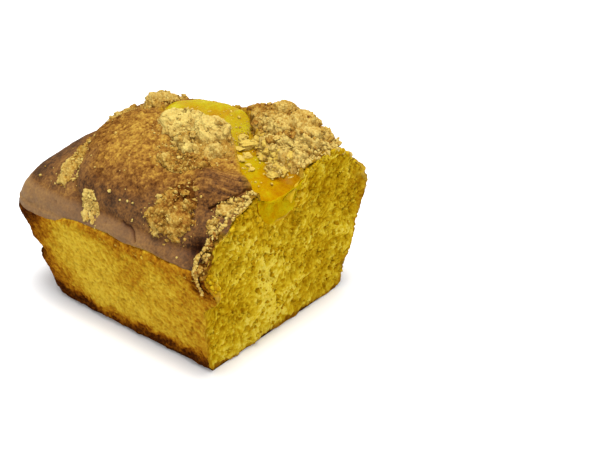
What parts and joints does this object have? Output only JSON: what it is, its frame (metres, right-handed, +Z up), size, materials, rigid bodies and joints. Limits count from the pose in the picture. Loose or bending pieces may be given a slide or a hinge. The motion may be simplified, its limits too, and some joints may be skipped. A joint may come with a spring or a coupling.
{
  "type": "lemon crumble cake",
  "caption": "Cut lemon loaf cake with a browned crust, a split filled with lemon curd and heaps of golden crumble on top.",
  "frame": {"origin": "on the table, under the middle of the bounding box", "axes": "+X along the loaf to the cut, -Y to the near long side, +Z up"},
  "size_m": [0.133, 0.1126, 0.0971],
  "materials": {
    "sponge": "matte",
    "curd": "gloss",
    "crumble": "matte"
  },
  "bodies": {
    "root": {"loaf": "sponge", "lemon_curd": "curd", "crumble_ridge": "crumble", "crumble_middle": "crumble", "crumble_inner": "crumble", "crumble_shoulder": "crumble", "crumble_cut_edge": "crumble", "crumble_rim": "crumble", "crumble_end": "crumble", "crumble_crest": "crumble", "crumble_back": "crumble", "crumble_far_side": "crumble"}
  },
  "joints": []
}
